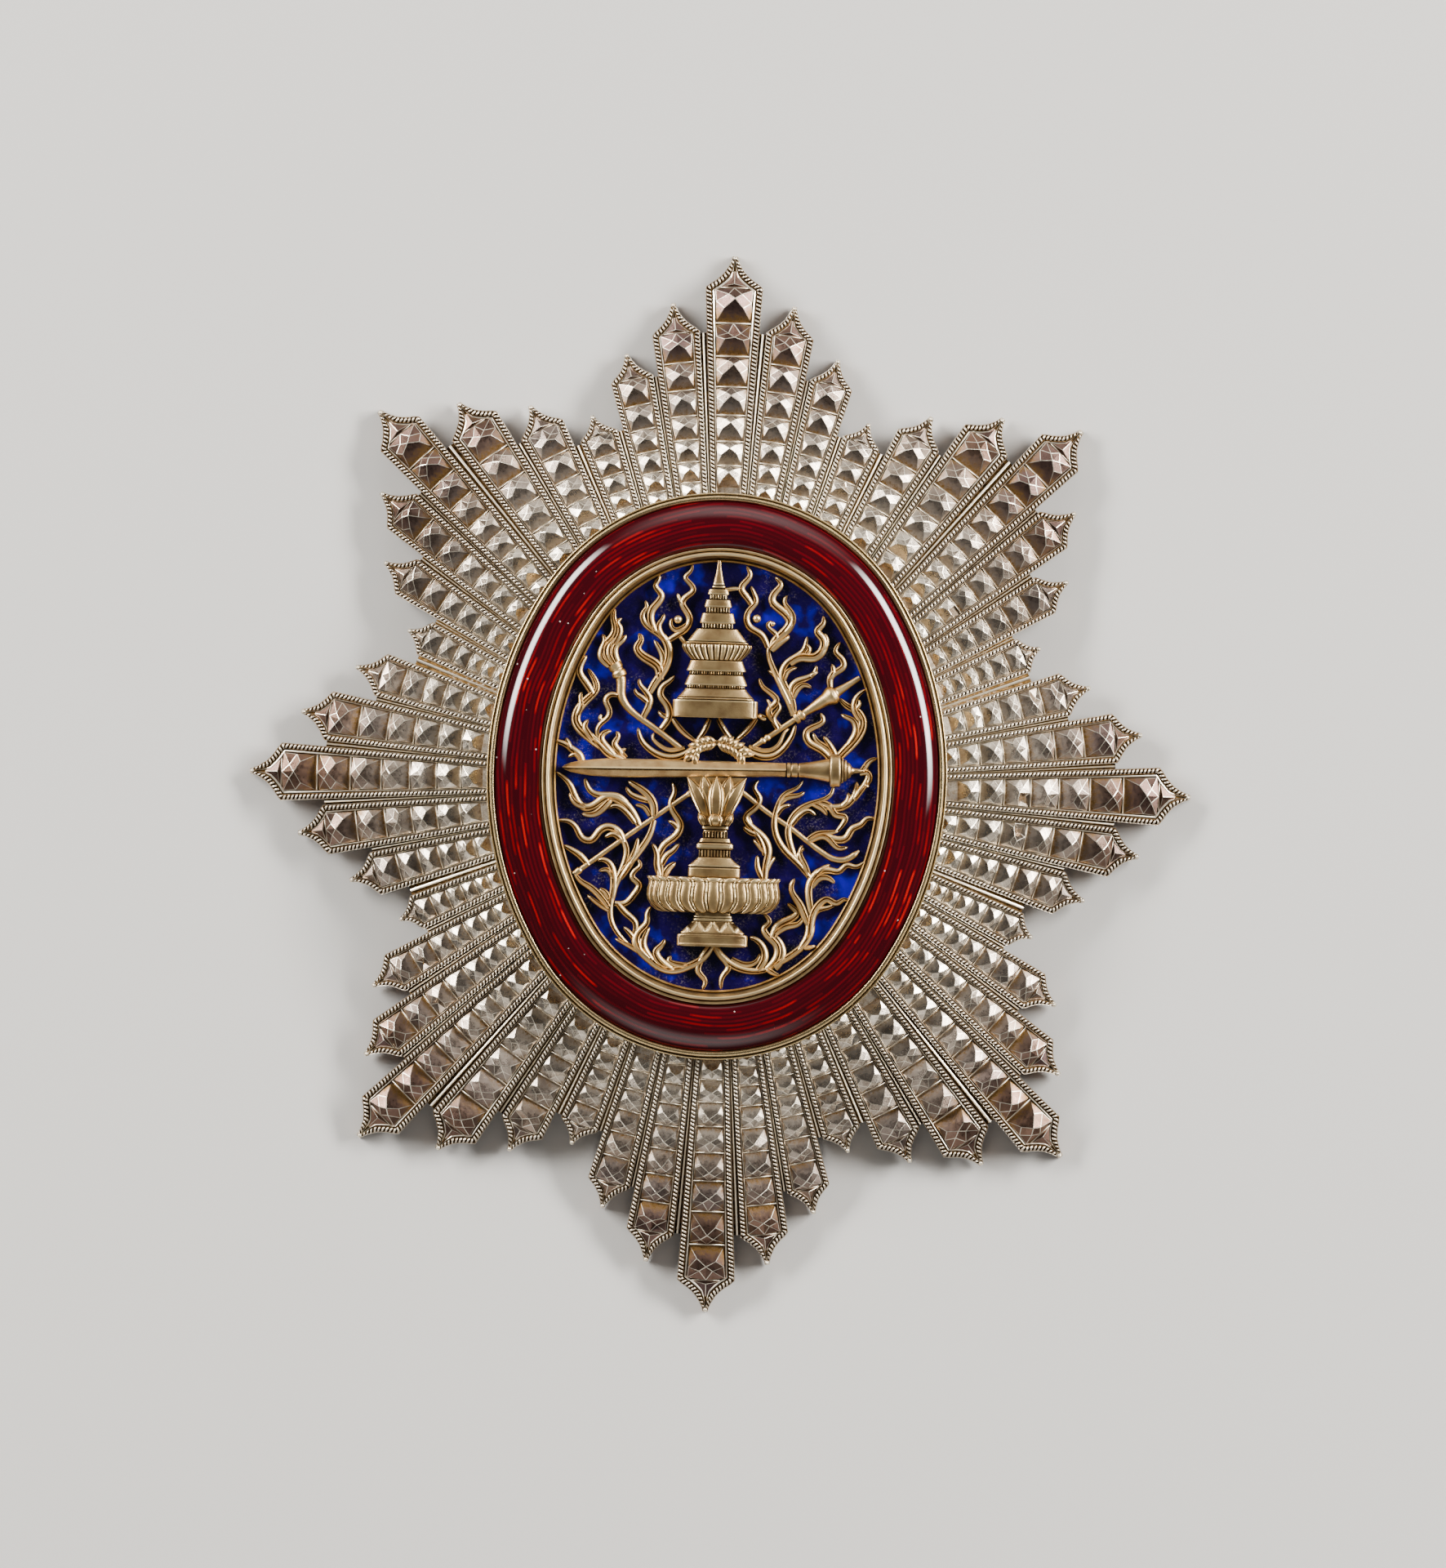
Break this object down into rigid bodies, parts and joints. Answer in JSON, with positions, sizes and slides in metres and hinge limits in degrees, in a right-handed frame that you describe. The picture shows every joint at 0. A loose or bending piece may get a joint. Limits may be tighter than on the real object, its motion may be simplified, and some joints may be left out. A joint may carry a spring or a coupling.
{
  "type": "breast star",
  "caption": "Rayed silver breast star with beaded rays, an oval red and blue enamel medallion, a pierced gilt crest and a brooch pin behind.",
  "frame": {"origin": "centre of the star's box at the level of the surface it lies on, below the middle of the back", "axes": "+Z out of the enamel face, +Y towards the top point of the star, +X to the right as the face is seen"},
  "size_m": [0.0802, 0.09, 0.0107],
  "materials": {
    "struck_silver": "struck silver, polished on the facets and darkened in the grooves",
    "gilt_metal": "satin gilt with light pitting",
    "pale_gilt": "chased pale gilt, worn bright on the edges",
    "red_enamel": "translucent red enamel over an engine-turned ground",
    "blue_enamel": "deep blue enamel, glossy"
  },
  "bodies": {
    "root": {"star_body": "struck_silver", "ring_mount": "gilt_metal", "red_enamel": "red_enamel", "inner_bezel": "gilt_metal", "blue_enamel": "blue_enamel", "flame_fret": "gilt_metal", "upper_stand": "pale_gilt", "lower_stand": "pale_gilt", "sword": "pale_gilt", "ribbon_knot": "pale_gilt", "brooch_pin": "struck_silver"}
  },
  "joints": []
}
